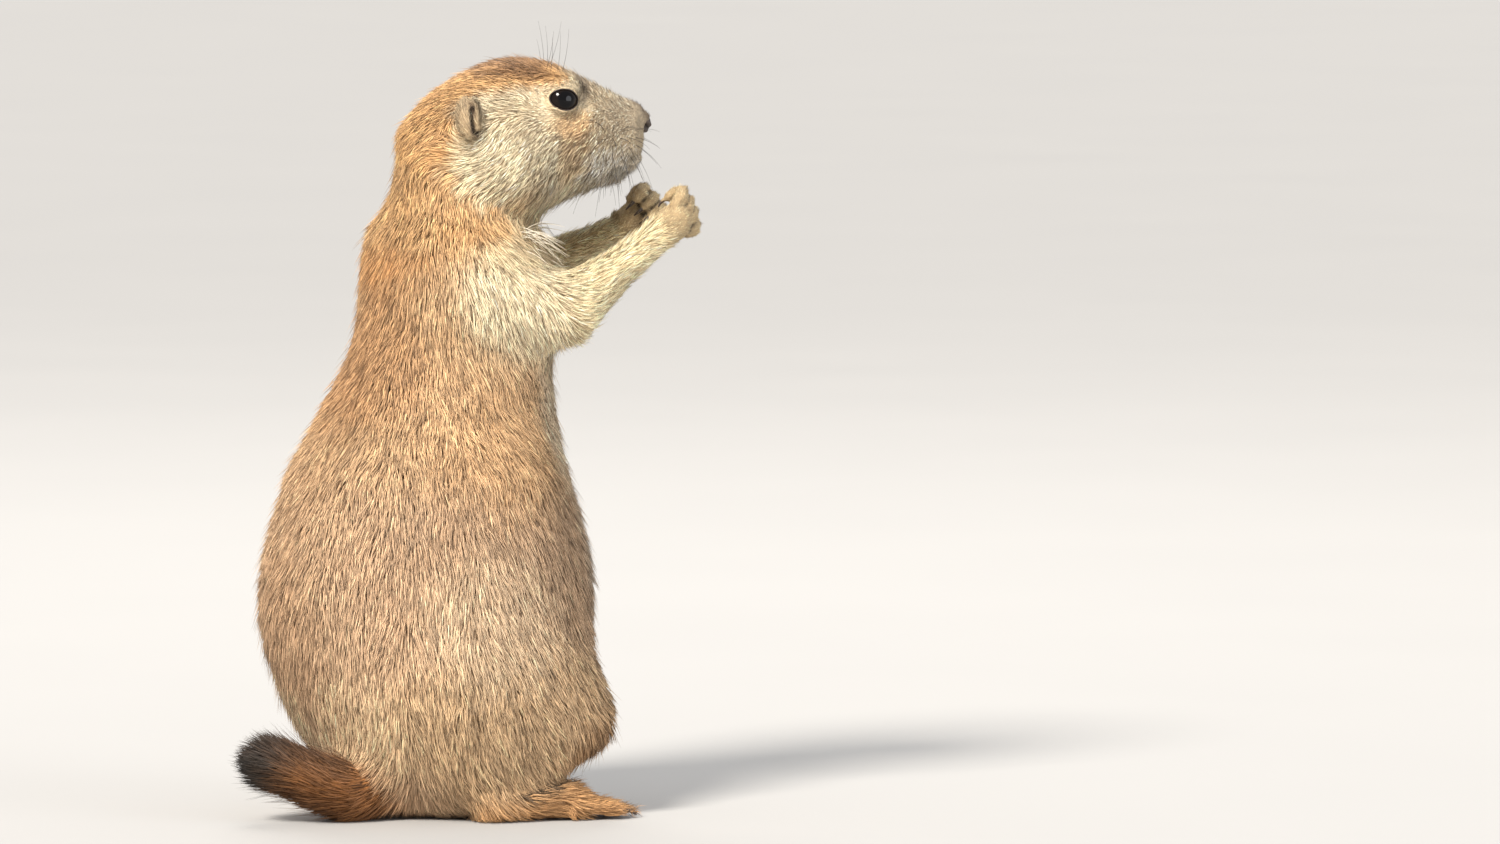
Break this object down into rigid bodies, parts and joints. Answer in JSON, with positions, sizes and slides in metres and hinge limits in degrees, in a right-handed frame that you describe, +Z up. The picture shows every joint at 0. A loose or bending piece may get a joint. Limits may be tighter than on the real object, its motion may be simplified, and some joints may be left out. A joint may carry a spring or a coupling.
{
  "type": "prairie dog model",
  "caption": "Life-size ground squirrel sitting upright on its haunches, forepaws raised before its mouth, head turned aside, short bushy tail laid back on the floor.",
  "frame": {"origin": "on the floor, under the middle of the part's bounding box", "axes": "+X the way the trunk faces, +Y the animal's left, +Z up from the floor to the crown"},
  "size_m": [0.1706, 0.1184, 0.26],
  "materials": {
    "coat_back": "short dense fur, sandy brown with dark tips",
    "coat_chest": "short dense fur, warm buff",
    "coat_nape": "short fur, warm sandy orange",
    "coat_face": "very short fur, pale buff",
    "coat_arm": "short fur, cream buff",
    "coat_foot": "short fur, brown",
    "coat_tail": "coarse fur, reddish brown",
    "coat_brush": "coarse bushy fur, blackish brown",
    "nose": "bare skin, slightly moist",
    "eye": "wet gloss, near black"
  },
  "bodies": {
    "root": {"head": "coat_face", "nose": "nose", "eye_right": "eye", "ear_right": "coat_face", "eye_left": "eye", "ear_left": "coat_face", "neck": "coat_nape", "chest": "coat_chest", "abdomen": "coat_back", "upper_arm_right": "coat_arm", "forearm_right": "coat_arm", "forepaw_right": "coat_arm", "thigh_right": "coat_back", "hind_foot_right": "coat_foot", "upper_arm_left": "coat_arm", "forearm_left": "coat_arm", "forepaw_left": "coat_arm", "thigh_left": "coat_back", "hind_foot_left": "coat_foot", "tail_base": "coat_tail", "tail_brush": "coat_brush"}
  },
  "joints": []
}
